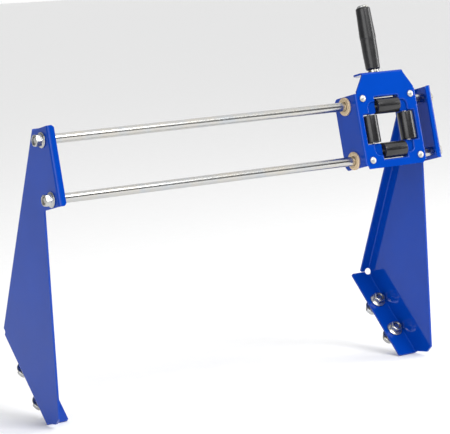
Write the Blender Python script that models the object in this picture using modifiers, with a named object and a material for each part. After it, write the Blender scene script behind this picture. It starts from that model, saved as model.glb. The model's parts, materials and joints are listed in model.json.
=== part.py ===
"""Level-wind hose guide for a hose reel.

Two mirrored bent-sheet brackets hold two parallel rods. A bent-sheet carriage
slides along the rods on four flanged bushings. It carries four rollers, which
frame the opening that the hose runs through, and a revolving hand grip.

+X runs along the rods, +Y to the rear (towards the reel), +Z up. The origin is
midway between the brackets, in the plane of the legs' front edges, at the
height of the leg tips. Lengths are in metres.
"""

import math

import bmesh
import bpy
from mathutils import Matrix, Vector

# Brackets
SPAN = 0.6130                 # outside face to outside face of the two webs
SHEET = 0.0027                # 12 gauge steel
BEND_R = 0.0045               # outside radius of the bracket bends
BEND_STEPS = 4
TILT = math.radians(11.4)     # lean of the rod plane away from the leg's front edge
UPPER_ROD_YZ = (-0.0079, 0.3737)
ROD_PITCH = 0.0762
FLANGE_SETBACK = 0.0195       # rod plane to the front face of the front flange
TOP_ABOVE_ROD = 0.0155        # top edge above the upper rod's axis
STEP_BELOW_ROD = 0.0873       # step below the upper rod's axis
FRONT_FLANGE_W = 0.0096
REAR_FLANGE_W = 0.0160
FOOT_FLANGE_W = 0.0330
REAR_LINE = (0.1944, -0.45)   # rear edge: y = a + b * z
FOOT_LINE = (0.0368, 0.98)    # foot edge: y = a + b * z
TIP_HEEL_Z = 0.0032           # where the foot bend ends, above the tip
TIP_MID_YZ = (0.0090, 0.0055)
TIP_TOE_Z = 0.0140
RELIEF = 0.0044               # the bends stop this far from the knee
RELIEF_HOLE_R = 0.0042
RELIEF_DEPTH = 0.0085         # how far in the relief hole cuts
KNEE_FLARE = 0.0054           # beyond the relief the flanges widen towards each other
FLANGE_CHAMFER = 0.0030

# Rods and their nuts
ROD_R = 0.00635
THREAD_R = 0.00475
THREAD_OUT = 0.0100           # thread beyond the web's outside face
ROD_NUT = dict(flange_r=0.0102, across=0.0145, height=0.0112, rim=0.0016)
HOLE_R = 0.00515
FIT_GAP = 0.0003

# Foot hardware, seen along the bolt from the foot flange's inside face
FOOT_BOLT_X = 0.0160          # from the web's outside face
FOOT_BOLT_PITCH = 0.0540
FOOT_BOLT_MID = 0.0715        # from the foot's lower end along the slope
FOOT_NUT = dict(flange_r=0.0115, across=0.0160, height=0.0100, rim=0.0018)
BOLT_HEAD_R = 0.0118
BOLT_HEAD_START = 0.0148
BOLT_HEAD_END = 0.0243
BOLT_TOP = 0.0092

# Carriage, in the rod frame: x from its middle, y behind the rods, z above the upper rod
CARRIAGE_X = 0.2209           # parked position, near the right bracket
CAR_W = 0.1054
CAR_FRONT = -0.0260           # front face
CAR_REAR = 0.0245             # rear edge of the side plates
CAR_BEND_R = 0.0036
CAR_TOP = 0.0135
CAR_BOTTOM = -0.0875
PLATE_BOTTOM = -0.0920
SHOULDER_Z = 0.0162
NECK_TOP_Z = 0.0415
NECK_HALF_W = 0.0352
TAB_FULL = 0.0205             # depth to which the top tab keeps its width
TAB_DEPTH = 0.0340
TAB_END_HALF_W = 0.0200
CORNER_CUT = 0.0050

# Roller window
WIN_Z = -0.0373
WIN_HALF = (0.0330, 0.0365)
WIN_R = 0.0080
ROLLER_R = 0.0110
ROLLER_LEN = 0.0380
ROLLER_OFF = 0.0310
ROLLER_Y = -0.0202
NOTCH_HALF = 0.0205
NOTCH_OUT = 0.0435
AXLE_R = 0.00225
AXLE_LEN = 0.0520
AXLE_BORE_R = 0.00255
FRAME_HALF = (0.0460, 0.0485)
FRAME_Y = (-0.0230, -0.0140)
RIVET_XZ = (0.0415, 0.0432)
RIVET_R = 0.0024
RIVET_HEAD_R = 0.0049
RIVET_HEAD_H = 0.0026

# Bushings
BUSH_FLANGE_R = 0.0127
BUSH_FLANGE_T = 0.0030
BUSH_BODY_R = 0.0095
BUSH_BODY_LEN = 0.0150
BUSH_BORE_R = 0.00665

# Handle, on the top tab
HANDLE_Y = -0.0066
STUD_R = 0.00475
DOME_R = 0.0080               # the stud's round head
GRIP_BASE = 0.0048            # above the tab
GRIP_LEN = 0.0880
GRIP_BORE_R = 0.00515
COLLAR_R = 0.0082

BLUE = (0.010, 0.095, 0.520)
ZINC = (0.620, 0.620, 0.610)
BRONZE = (0.560, 0.400, 0.220)
BLACK = (0.012, 0.012, 0.013)


def clear_scene():
    for obj in list(bpy.data.objects):
        bpy.data.objects.remove(obj, do_unlink=True)


def collection(name, hidden=False):
    group = bpy.data.collections.new(name)
    bpy.context.scene.collection.children.link(group)
    group.hide_render = hidden
    return group


def material(name, colour, roughness, metallic):
    mat = bpy.data.materials.new(name)
    mat.use_nodes = True
    shader = mat.node_tree.nodes["Principled BSDF"]
    shader.inputs["Base Color"].default_value = (*colour, 1.0)
    shader.inputs["Roughness"].default_value = roughness
    shader.inputs["Metallic"].default_value = metallic
    return mat


def place(obj, mat, group, parent=None, location=(0, 0, 0), rotation=(0, 0, 0)):
    """Links an object, gives it its material and puts it in its parent's frame."""
    group.objects.link(obj)
    if mat is not None:
        obj.data.materials.clear()
        obj.data.materials.append(mat)
    obj.parent = parent
    obj.location = location
    obj.rotation_euler = rotation
    return obj


def object_of(name, bm):
    mesh = bpy.data.meshes.new(name)
    bm.to_mesh(mesh)
    bm.free()
    return bpy.data.objects.new(name, mesh)


def rod_plane(along, up):
    """The (y, z) of a point given behind the rod plane and above the upper rod."""
    y0, z0 = UPPER_ROD_YZ
    return Vector((
        y0 + along * math.cos(TILT) + up * math.sin(TILT),
        z0 - along * math.sin(TILT) + up * math.cos(TILT),
    ))


def crossing(p, d, q, e):
    """Where the lines p + s d and q + t e cross, in the plane."""
    det = d.x * e.y - d.y * e.x
    s = ((q.x - p.x) * e.y - (q.y - p.y) * e.x) / det
    return p + d * s


def turned(name, profile, steps, mat, group, **where):
    """A turned solid: a profile of (radius, height), top to bottom, swept about Z."""
    mesh = bpy.data.meshes.new(name)
    points = [(r, 0, h) for r, h in profile]
    closed = profile[0][0] > 0
    edges = [(i, i + 1) for i in range(len(points) - 1)]
    if closed:
        edges.append((len(points) - 1, 0))
    mesh.from_pydata(points, edges, [])
    obj = place(bpy.data.objects.new(name, mesh), mat, group, **where)
    screw = obj.modifiers.new("Turn", "SCREW")
    screw.axis = "Z"
    screw.steps = steps
    screw.render_steps = steps
    screw.use_merge_vertices = True
    screw.merge_threshold = 0.00001
    screw.use_smooth_shade = True
    return obj


def baked(obj):
    """The object's evaluated mesh, with its modifiers applied."""
    bpy.context.view_layer.update()
    graph = bpy.context.evaluated_depsgraph_get()
    mesh = bpy.data.meshes.new_from_object(obj.evaluated_get(graph))
    bm = bmesh.new()
    bm.from_mesh(mesh)
    bmesh.ops.remove_doubles(bm, verts=bm.verts, dist=0.000002)
    bm.to_mesh(mesh)
    bm.free()
    return mesh


def boolean(obj, cutter, operation="DIFFERENCE"):
    modifier = obj.modifiers.new(operation.title(), "BOOLEAN")
    modifier.operation = operation
    modifier.solver = "EXACT"
    modifier.object = cutter
    return modifier


def cutter_cylinder(name, radius, length, segments, parent, location, rotation=(0, 0, 0)):
    bm = bmesh.new()
    bmesh.ops.create_cone(bm, cap_ends=True, segments=segments, radius1=radius,
                          radius2=radius, depth=length)
    return hide(place(object_of(name, bm), None, CUTTERS, parent, location, rotation))


def cutter_box(name, size, parent, location, corner=0.0):
    """A box. With a corner radius, its edges along Y are rounded."""
    bm = bmesh.new()
    bmesh.ops.create_cube(bm, size=1.0)
    bmesh.ops.scale(bm, vec=size, verts=bm.verts)
    if corner:
        along_y = [e for e in bm.edges if abs((e.verts[0].co - e.verts[1].co).y) > 0.5 * size[1]]
        bmesh.ops.bevel(bm, geom=along_y, offset=corner, segments=5, profile=0.5,
                        affect="EDGES", clamp_overlap=True)
    return hide(place(object_of(name, bm), None, CUTTERS, parent, location))


def hide(obj):
    obj.hide_render = True
    obj.display_type = "WIRE"
    return obj


def bend(bm, ends, outward, inward, radius, run, taper=0.0, cut=0.0, flare=(0.0, 0.0)):
    """Bends a flange off a sheet's edge: an arc of a right angle, then a straight run.

    ends are the edge's two vertices, outward points off the sheet in its plane
    and inward is the way the flange goes. Over its last stretch, cut, the run
    narrows by taper at each end. flare widens it at either end past the relief.
    """
    edge = bm.edges.get(ends)
    base = [v.co.copy() for v in ends]
    for step in range(1, BEND_STEPS + 1):
        angle = math.pi / 2 * step / BEND_STEPS
        shift = outward * (radius * math.sin(angle)) + inward * (radius * (1 - math.cos(angle)))
        edge, ends = extruded(bm, edge, ends, [b + shift for b in base])
    along = (base[1] - base[0]).normalized()
    corner = [v.co.copy() for v in ends]
    straight = run - radius - cut
    if any(flare):
        start = RELIEF_DEPTH - radius
        edge, ends = extruded(bm, edge, ends, [c + inward * (start - 0.0015) for c in corner])
        corner = [corner[0] - along * flare[0], corner[1] + along * flare[1]]
        edge, ends = extruded(bm, edge, ends, [c + inward * start for c in corner])
    edge, ends = extruded(bm, edge, ends, [c + inward * straight for c in corner])
    if cut:
        narrow = (along * taper, -along * taper)
        reach = [c + inward * (straight + cut) + n for c, n in zip(corner, narrow)]
        extruded(bm, edge, ends, reach)


def extruded(bm, edge, ends, targets):
    """Extrudes one edge and moves its new vertices to the targets."""
    made = bmesh.ops.extrude_edge_only(bm, edges=[edge])["geom"]
    new_edge = next(g for g in made if isinstance(g, bmesh.types.BMEdge))
    fresh = [v for v in made if isinstance(v, bmesh.types.BMVert)]
    fresh.sort(key=lambda v: (v.co - ends[0].co).length)
    for vert, target in zip(fresh, targets):
        vert.co = target
    return new_edge, fresh


def sheet_object(name, bm, facing, mat, group, **where):
    """Makes a folded surface one sheet thick, behind the face that looks along facing."""
    bmesh.ops.recalc_face_normals(bm, faces=bm.faces)
    bm.faces.ensure_lookup_table()
    biggest = max(bm.faces, key=lambda f: f.calc_area())
    if biggest.normal.dot(facing) < 0:
        bmesh.ops.reverse_faces(bm, faces=bm.faces)
    obj = place(object_of(name, bm), mat, group, **where)
    solid = obj.modifiers.new("Sheet", "SOLIDIFY")
    solid.thickness = SHEET
    solid.offset = -1.0
    solid.use_even_offset = True
    solid.use_quality_normals = True
    return obj


def bracket_outline():
    """The flat of the web as (y, z) points, with the names of its bent edges' ends."""
    rear_dir = Vector((REAR_LINE[1], 1.0)).normalized()
    foot_dir = Vector((FOOT_LINE[1], 1.0)).normalized()
    rear_in = Vector((-rear_dir.y, rear_dir.x))
    foot_in = Vector((-foot_dir.y, foot_dir.x))
    rear_at = Vector((REAR_LINE[0], 0.0)) + rear_in * BEND_R
    foot_at = Vector((FOOT_LINE[0], 0.0)) + foot_in * BEND_R
    knee = crossing(rear_at, rear_dir, foot_at, foot_dir)
    fold = BEND_R - FLANGE_SETBACK
    top_front = rod_plane(fold, TOP_ABOVE_ROD)
    across = rod_plane(1.0, 0.0) - rod_plane(0.0, 0.0)
    top_rear = crossing(top_front, across, rear_at, rear_dir)
    step_front = rod_plane(fold, -STEP_BELOW_ROD)
    step_corner = crossing(step_front, across, Vector((0.0, 0.0)), Vector((0.0, 1.0)))
    heel = foot_at + foot_dir * ((TIP_HEEL_Z - foot_at.y) / foot_dir.y)
    points = [
        step_front,
        top_front,
        top_rear,
        knee + rear_dir * RELIEF,
        knee,
        knee - foot_dir * RELIEF,
        heel,
        Vector(TIP_MID_YZ),
        Vector((0.0, TIP_TOE_Z)),
        step_corner,
    ]
    return points, rear_in, foot_in, knee


def build_bracket(name, side, group, mat):
    """side is -1 for the left bracket and +1 for the right one."""
    outline, rear_in, foot_in, knee = bracket_outline()
    face_x = side * SPAN / 2
    inward = Vector((-side, 0, 0))
    bm = bmesh.new()
    verts = [bm.verts.new((face_x, p.x, p.y)) for p in outline]
    bm.faces.new(verts)
    front_out = Vector((0, -math.cos(TILT), math.sin(TILT)))
    rear_out = Vector((0, -rear_in.x, -rear_in.y))
    foot_out = Vector((0, -foot_in.x, -foot_in.y))
    bend(bm, (verts[0], verts[1]), front_out, inward, BEND_R, FRONT_FLANGE_W,
         taper=FLANGE_CHAMFER, cut=FLANGE_CHAMFER)
    bend(bm, (verts[2], verts[3]), rear_out, inward, BEND_R, REAR_FLANGE_W,
         taper=0.0015, cut=0.0015, flare=(0.0, KNEE_FLARE))
    bend(bm, (verts[5], verts[6]), foot_out, inward, BEND_R, FOOT_FLANGE_W,
         taper=0.0015, cut=0.0015, flare=(KNEE_FLARE, 0.0))
    obj = sheet_object(name, bm, -inward, mat, group)
    turn = (0, math.pi / 2, 0)
    mid = Vector((face_x, knee.x, knee.y))
    boolean(obj, cutter_cylinder(name + "_relief", RELIEF_HOLE_R, 2 * RELIEF_DEPTH, 16, None, mid, turn))
    for label, drop in (("upper", 0.0), ("lower", ROD_PITCH)):
        y, z = rod_plane(0.0, -drop)
        boolean(obj, cutter_cylinder(f"{name}_{label}_hole", HOLE_R, 0.012, 16, None,
                                     (face_x, y, z), turn))
    for label, frame in foot_bolt_frames(side):
        boolean(obj, cutter_cylinder(f"{name}_{label}_bolt_hole", HOLE_R, 0.012, 16, frame,
                                     (0, 0, 0)))
    return obj


def foot_bolt_frames(side):
    """Empties at the two bolts of a foot, on the flange's inside face, +Z out through the foot."""
    slope = Vector((0, FOOT_LINE[1], 1.0)).normalized()
    out = Vector((0, slope.z, -slope.y))
    heel = Vector((side * SPAN / 2, FOOT_LINE[0], 0.0))
    frames = []
    for label, offset in (("rear", 0.5), ("front", -0.5)):
        name = f"{'left' if side < 0 else 'right'}_{label}_bolt_axis"
        if name in bpy.data.objects:
            frames.append((label, bpy.data.objects[name]))
            continue
        along = FOOT_BOLT_MID + offset * FOOT_BOLT_PITCH
        spot = heel + slope * along - out * SHEET + Vector((-side * FOOT_BOLT_X, 0, 0))
        empty = bpy.data.objects.new(name, None)
        PARTS.objects.link(empty)
        turn = Matrix((Vector((1, 0, 0)), out.cross(Vector((1, 0, 0))), out)).transposed()
        empty.matrix_world = Matrix.Translation(spot) @ turn.to_4x4()
        frames.append((label, empty))
    return frames


def flange_nut_mesh(name, flange_r, across, height, rim, bore_r):
    """A hexagon flange nut that stands on z = 0, with its bore."""
    corner = across / math.sqrt(3)
    body = turned(name + "_hex", [(0.0, height), (corner * 0.88, height), (corner, height - 0.0012),
                                  (corner, rim * 0.5), (0.0, rim * 0.5)], 6, None, CUTTERS)
    skirt = turned(name, [(0.0, rim + 0.0016), (corner * 0.9, rim + 0.0016), (flange_r - 0.0004, rim),
                          (flange_r, rim * 0.6), (flange_r, 0.0), (0.0, 0.0)], 20, None, CUTTERS)
    bore = cutter_cylinder(name + "_bore", bore_r, 4 * height, 16, None, (0, 0, 0))
    boolean(skirt, body, "UNION")
    boolean(skirt, bore)
    mesh = baked(skirt)
    mesh.name = name
    for used in (skirt, body, bore):
        bpy.data.objects.remove(used, do_unlink=True)
    mesh.shade_smooth()
    mesh.set_sharp_from_angle(angle=math.radians(30))
    return mesh


def build_rods(group, mat):
    nut_mesh = flange_nut_mesh("rod_nut", bore_r=THREAD_R + FIT_GAP, **ROD_NUT)
    nut_mesh.materials.append(mat)
    shoulder = SPAN / 2 - SHEET - FIT_GAP
    end = SPAN / 2 + THREAD_OUT
    for label, drop in (("upper", 0.0), ("lower", ROD_PITCH)):
        y, z = rod_plane(0.0, -drop)
        profile = [(0.0, end), (THREAD_R - 0.0009, end), (THREAD_R, end - 0.0009),
                   (THREAD_R, shoulder), (ROD_R, shoulder), (ROD_R, -shoulder),
                   (THREAD_R, -shoulder), (THREAD_R, 0.0009 - end),
                   (THREAD_R - 0.0009, -end), (0.0, -end)]
        turned(f"{label}_rod", profile, 24, mat, group, location=(0, y, z),
               rotation=(0, math.pi / 2, 0))
        for side in (-1, 1):
            hand = "left" if side < 0 else "right"
            nut = bpy.data.objects.new(f"{label}_{hand}_nut", nut_mesh)
            place(nut, None, group, location=(side * (SPAN / 2 + FIT_GAP), y, z),
                  rotation=(0, side * math.pi / 2, 0))


def build_foot_hardware(group, mat):
    nut_mesh = flange_nut_mesh("foot_nut", bore_r=THREAD_R + FIT_GAP, **FOOT_NUT)
    nut_mesh.materials.append(mat)
    bolt_mesh = flange_bolt_mesh()
    bolt_mesh.materials.append(mat)
    for side in (-1, 1):
        hand = "left" if side < 0 else "right"
        for label, frame in foot_bolt_frames(side):
            nut = bpy.data.objects.new(f"{hand}_foot_nut_{label}", nut_mesh)
            place(nut, None, group, frame, (0, 0, -FIT_GAP), (math.pi, 0, 0))
            bolt = bpy.data.objects.new(f"{hand}_foot_bolt_{label}", bolt_mesh)
            place(bolt, None, group, frame)


def flange_bolt_mesh():
    """A hexagon flange bolt along Z, with the nut side down and the head up."""
    corner = 0.0098
    start, end = BOLT_HEAD_START, BOLT_HEAD_END
    body = turned("bolt_hex", [(0.0, end), (corner * 0.86, end), (corner, end - 0.0014),
                               (corner, start + 0.0010), (0.0, start + 0.0010)], 6, None, CUTTERS)
    core = turned("foot_bolt", [(0.0, start + 0.0036), (corner * 0.85, start + 0.0036),
                                (BOLT_HEAD_R, start + 0.0018), (BOLT_HEAD_R, start),
                                (THREAD_R, start), (THREAD_R, 0.0009 - BOLT_TOP),
                                (THREAD_R - 0.0009, -BOLT_TOP), (0.0, -BOLT_TOP)],
                  20, None, CUTTERS)
    boolean(core, body, "UNION")
    mesh = baked(core)
    mesh.name = "foot_bolt"
    for used in (core, body):
        bpy.data.objects.remove(used, do_unlink=True)
    mesh.shade_smooth()
    mesh.set_sharp_from_angle(angle=math.radians(30))
    return mesh


def build_carriage_frame(group, parent, mat):
    half = CAR_W / 2 - CAR_BEND_R
    fold = NECK_TOP_Z - CAR_BEND_R
    outline = [
        (-half, CAR_BOTTOM), (-half + 0.0015, PLATE_BOTTOM), (half - 0.0040, PLATE_BOTTOM),
        (half, CAR_BOTTOM), (half, CAR_TOP), (half, SHOULDER_Z), (NECK_HALF_W, fold),
        (-NECK_HALF_W, fold), (-half, SHOULDER_Z), (-half, CAR_TOP),
    ]
    bm = bmesh.new()
    verts = [bm.verts.new((x, CAR_FRONT, z)) for x, z in outline]
    bm.faces.new(verts)
    back = Vector((0, 1, 0))
    depth = CAR_REAR - CAR_FRONT
    bend(bm, (verts[3], verts[4]), Vector((1, 0, 0)), back, CAR_BEND_R, depth,
         taper=CORNER_CUT, cut=CORNER_CUT)
    bend(bm, (verts[9], verts[0]), Vector((-1, 0, 0)), back, CAR_BEND_R, depth,
         taper=CORNER_CUT, cut=CORNER_CUT)
    bend(bm, (verts[6], verts[7]), Vector((0, 0, 1)), back, CAR_BEND_R, TAB_DEPTH,
         taper=NECK_HALF_W - TAB_END_HALF_W, cut=TAB_DEPTH - TAB_FULL)
    obj = sheet_object("carriage_frame", bm, -back, mat, group, parent=parent)
    deep = 0.030
    mid_y = CAR_FRONT
    boolean(obj, cutter_box("window_cut", (2 * WIN_HALF[0], deep, 2 * WIN_HALF[1]), parent,
                            (0, mid_y, WIN_Z), WIN_R))
    boolean(obj, cutter_box("window_wide_cut", (2 * NOTCH_OUT, deep + 0.001, 2 * NOTCH_HALF), parent,
                            (0, mid_y, WIN_Z)))
    boolean(obj, cutter_box("window_tall_cut", (2 * NOTCH_HALF, deep + 0.002, 2 * NOTCH_OUT), parent,
                            (0, mid_y, WIN_Z)))
    for x, z in rivet_spots():
        boolean(obj, cutter_cylinder("rivet_cut", RIVET_R + FIT_GAP, 0.012, 12, parent,
                                     (x, mid_y, z), (math.pi / 2, 0, 0)))
    for drop in (0.0, ROD_PITCH):
        boolean(obj, cutter_cylinder("bushing_cut", BUSH_BODY_R + FIT_GAP, 0.140, 24, parent,
                                     (0, 0, -drop), (0, math.pi / 2, 0)))
    boolean(obj, cutter_cylinder("stud_cut", STUD_R + FIT_GAP, 0.020, 16, parent,
                                 (0, HANDLE_Y, NECK_TOP_Z)))
    return obj


def rivet_spots():
    return [(sx * RIVET_XZ[0], WIN_Z + sz * RIVET_XZ[1]) for sz in (1, -1) for sx in (-1, 1)]


def build_roller_frame(group, parent, mat):
    """The thick frame behind the front plate, whose corners carry the axles."""
    thick = FRAME_Y[1] - FRAME_Y[0]
    mid_y = (FRAME_Y[0] + FRAME_Y[1]) / 2
    bm = bmesh.new()
    bmesh.ops.create_cube(bm, size=1.0)
    bmesh.ops.scale(bm, vec=(2 * FRAME_HALF[0], thick, 2 * FRAME_HALF[1]), verts=bm.verts)
    obj = place(object_of("roller_frame", bm), mat, group, parent, (0, mid_y, WIN_Z))
    boolean(obj, cutter_box("frame_wide_cut", (2 * NOTCH_OUT, 0.040, 2 * NOTCH_HALF), parent,
                            (0, mid_y, WIN_Z)))
    boolean(obj, cutter_box("frame_tall_cut", (2 * NOTCH_HALF, 0.041, 2 * NOTCH_OUT), parent,
                            (0, mid_y, WIN_Z)))
    for side in (-1, 1):
        boolean(obj, cutter_cylinder("axle_cut_x", AXLE_R + FIT_GAP, AXLE_LEN + 0.001, 12, parent,
                                     (0, ROLLER_Y, WIN_Z + side * ROLLER_OFF), (0, math.pi / 2, 0)))
        boolean(obj, cutter_cylinder("axle_cut_z", AXLE_R + FIT_GAP, AXLE_LEN + 0.001, 12, parent,
                                     (side * ROLLER_OFF, ROLLER_Y, WIN_Z)))
    for x, z in rivet_spots():
        boolean(obj, cutter_cylinder("frame_rivet_cut", RIVET_R + FIT_GAP, 0.040, 12, parent,
                                     (x, mid_y, z), (math.pi / 2, 0, 0)))
    return obj


def build_rollers(group, parent, black, zinc):
    half = ROLLER_LEN / 2
    rim = 0.0009
    shell = [(ROLLER_R - rim, half), (ROLLER_R, half - rim), (ROLLER_R, rim - half),
             (ROLLER_R - rim, -half), (AXLE_BORE_R, -half), (AXLE_BORE_R, half)]
    pin = [(0.0, AXLE_LEN / 2), (AXLE_R, AXLE_LEN / 2), (AXLE_R, -AXLE_LEN / 2),
           (0.0, -AXLE_LEN / 2)]
    lying = (0, math.pi / 2, 0)
    places = {
        "top": ((0, ROLLER_Y, WIN_Z + ROLLER_OFF), lying),
        "bottom": ((0, ROLLER_Y, WIN_Z - ROLLER_OFF), lying),
        "left": ((-ROLLER_OFF, ROLLER_Y, WIN_Z), (0, 0, 0)),
        "right": ((ROLLER_OFF, ROLLER_Y, WIN_Z), (0, 0, 0)),
    }
    for label, (spot, turn) in places.items():
        where = dict(parent=parent, location=spot, rotation=turn)
        turned(f"{label}_roller", shell, 24, black, group, **where)
        turned(f"{label}_roller_axle", pin, 12, zinc, group, **where)


def build_rivets(group, parent, mat):
    """Domed heads on the front plate, shanks through the roller frame, upset tails behind it."""
    tail = FRAME_Y[1] + FIT_GAP
    head = [(RIVET_HEAD_R * math.sin(a), RIVET_HEAD_H * math.cos(a))
            for a in (math.radians(i * 30) for i in range(4))]
    head = [(r, h - CAR_FRONT + FIT_GAP) for r, h in head]
    profile = head + [(RIVET_R, FIT_GAP - CAR_FRONT), (RIVET_R, -tail), (0.0040, -tail),
                      (0.0036, -tail - 0.0016), (0.0, -tail - 0.0016)]
    for (x, z), label in zip(rivet_spots(), ("top_left", "top_right", "bottom_left", "bottom_right")):
        turned(f"rivet_{label}", profile, 16, mat, group, parent=parent, location=(x, 0, z),
               rotation=(math.pi / 2, 0, 0))


def build_bushings(group, parent, mat):
    face = CAR_W / 2 + FIT_GAP
    outer = face + BUSH_FLANGE_T
    inner = face - BUSH_BODY_LEN
    profile = [(BUSH_FLANGE_R - 0.0006, outer), (BUSH_FLANGE_R, outer - 0.0006), (BUSH_FLANGE_R, face),
               (BUSH_BODY_R, face), (BUSH_BODY_R, inner), (BUSH_BORE_R, inner), (BUSH_BORE_R, outer)]
    for label, drop in (("upper", 0.0), ("lower", ROD_PITCH)):
        for side in (-1, 1):
            hand = "left" if side < 0 else "right"
            turned(f"{label}_{hand}_bushing", profile, 24, mat, group, parent=parent,
                   location=(0, 0, -drop), rotation=(0, side * math.pi / 2, 0))


def build_handle(group, parent, black, zinc):
    tab_top = NECK_TOP_Z + FIT_GAP
    where = dict(parent=parent, location=(0, HANDLE_Y, tab_top))
    top = GRIP_BASE + GRIP_LEN
    ring = GRIP_BASE + 0.5 * GRIP_LEN
    grip = [(0.0090, top), (0.0101, top - 0.0014), (0.0106, top - 0.0150), (0.0114, ring + 0.0012),
            (0.0114, ring + 0.0002), (0.0110, ring), (0.0109, GRIP_BASE + 0.0220),
            (0.0101, GRIP_BASE + 0.0012), (0.0096, GRIP_BASE), (GRIP_BORE_R, GRIP_BASE),
            (GRIP_BORE_R, top)]
    turned("handle_grip", grip, 28, black, group, **where)
    collar = [(COLLAR_R - 0.0006, GRIP_BASE - FIT_GAP), (COLLAR_R, GRIP_BASE - 0.0010), (COLLAR_R, 0.0006),
              (COLLAR_R - 0.0006, 0.0), (STUD_R + FIT_GAP, 0.0), (STUD_R + FIT_GAP, GRIP_BASE - FIT_GAP)]
    turned("handle_collar", collar, 20, zinc, group, **where)
    seat = top + FIT_GAP
    dome = [(DOME_R * math.sin(a), seat + 0.0008 + 0.0028 * math.cos(a))
            for a in (math.radians(i * 30) for i in range(4))]
    below = -SHEET - 0.0125
    stud = dome + [(DOME_R, seat), (STUD_R, seat), (STUD_R, below + 0.0008),
                   (STUD_R - 0.0008, below), (0.0, below)]
    turned("handle_stud", stud, 20, zinc, group, **where)
    nut_mesh = flange_nut_mesh("stud_nut", bore_r=THREAD_R + FIT_GAP, **ROD_NUT)
    nut_mesh.materials.append(zinc)
    nut = bpy.data.objects.new("handle_nut", nut_mesh)
    place(nut, None, group, parent, (0, HANDLE_Y, NECK_TOP_Z - SHEET - FIT_GAP), (math.pi, 0, 0))


def main():
    blue = material("blue_powder_coat", BLUE, 0.22, 0.0)
    zinc = material("bright_zinc", ZINC, 0.22, 1.0)
    bronze = material("oiled_bronze", BRONZE, 0.42, 1.0)
    black = material("black_plastic", BLACK, 0.22, 0.0)
    build_bracket("left_bracket", -1, PARTS, blue)
    build_bracket("right_bracket", 1, PARTS, blue)
    build_rods(PARTS, zinc)
    build_foot_hardware(PARTS, zinc)
    carriage = bpy.data.objects.new("carriage_axis", None)
    PARTS.objects.link(carriage)
    carriage.location = (CARRIAGE_X, *UPPER_ROD_YZ)
    carriage.rotation_euler = (-TILT, 0, 0)
    build_carriage_frame(PARTS, carriage, blue)
    build_roller_frame(PARTS, carriage, blue)
    build_rollers(PARTS, carriage, black, zinc)
    build_rivets(PARTS, carriage, zinc)
    build_bushings(PARTS, carriage, bronze)
    build_handle(PARTS, carriage, black, zinc)


clear_scene()
PARTS = collection("hose_guide")
CUTTERS = collection("hose_guide_cutters", hidden=True)
main()
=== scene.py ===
"""Looks of a level-wind hose guide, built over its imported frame.

Bent-steel brackets hold two guide rods. A carriage with a four-sided roller
window and a turning hand grip slides along them. Every visible part is a fine
surface that stands for its frame node and rides on that node's body.

Lengths are in metres. +X runs along the rods, +Y to the rear, +Z up. Places on
the carriage are given in the rod frame: across it, back from the rods' plane
and up from the upper rod's axis.
"""

import json
import math

import bmesh
import bpy
import numpy as np
from bpy.props import FloatProperty, FloatVectorProperty, IntProperty, PointerProperty
from mathutils import Matrix, Vector
from mathutils.geometry import delaunay_2d_cdt


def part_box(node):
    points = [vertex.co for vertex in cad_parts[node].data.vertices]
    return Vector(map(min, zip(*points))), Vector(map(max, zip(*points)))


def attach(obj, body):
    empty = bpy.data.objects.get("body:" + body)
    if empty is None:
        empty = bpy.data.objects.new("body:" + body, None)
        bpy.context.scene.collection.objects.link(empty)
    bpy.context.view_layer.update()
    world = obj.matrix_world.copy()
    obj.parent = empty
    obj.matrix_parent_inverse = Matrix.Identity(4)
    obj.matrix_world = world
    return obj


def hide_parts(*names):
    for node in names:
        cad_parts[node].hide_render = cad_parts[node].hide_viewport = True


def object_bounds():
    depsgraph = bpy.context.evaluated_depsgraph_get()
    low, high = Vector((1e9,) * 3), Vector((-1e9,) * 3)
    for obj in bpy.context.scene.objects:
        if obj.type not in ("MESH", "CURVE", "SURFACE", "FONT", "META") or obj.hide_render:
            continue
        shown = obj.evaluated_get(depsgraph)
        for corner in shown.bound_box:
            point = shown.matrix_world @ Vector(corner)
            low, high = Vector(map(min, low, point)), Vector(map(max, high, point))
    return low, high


bl_info = {
    "name": "Hose Guide Looks",
    "version": (1, 0, 0),
    "blender": (4, 5, 0),
    "location": "3D View > Sidebar > Hose Guide",
    "description": "Builds the sheet metal, hardware, rollers and stage of a level-wind hose guide",
    "category": "Object",
}

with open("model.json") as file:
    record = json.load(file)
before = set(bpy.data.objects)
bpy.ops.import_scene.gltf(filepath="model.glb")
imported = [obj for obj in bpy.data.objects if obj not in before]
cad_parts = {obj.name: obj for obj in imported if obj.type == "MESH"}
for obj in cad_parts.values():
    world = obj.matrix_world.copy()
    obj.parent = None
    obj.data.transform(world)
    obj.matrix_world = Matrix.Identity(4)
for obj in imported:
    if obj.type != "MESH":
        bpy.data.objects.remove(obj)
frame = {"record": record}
CAD_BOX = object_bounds()
RECORD = frame["record"]
BODY_OF = {node: body for body, nodes in RECORD["behaviour"]["bodies"].items() for node in nodes}


def middle(node):
    low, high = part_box(node)
    return np.array((low + high) / 2)


def extent(node):
    low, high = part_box(node)
    return np.array(high - low)


# The rod frame and the span, from the frame's nodes
ACROSS = np.array((1.0, 0.0, 0.0))
UPPER_ROD = middle("upper_rod") * (0, 1, 1)
LOWER_ROD = middle("lower_rod") * (0, 1, 1)
ROD_PITCH = float(np.linalg.norm(UPPER_ROD - LOWER_ROD))
UP = (UPPER_ROD - LOWER_ROD) / ROD_PITCH
BACK = np.cross(UP, ACROSS)
CARRIAGE_X = float(middle("carriage_frame")[0])
HALF_SPAN = -float(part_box("left_bracket")[0][0])
ROD_END = float(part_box("upper_rod")[1][0])
ROD_R = float(extent("lower_rod")[2]) / 2
FIT_GAP = 0.0003

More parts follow.
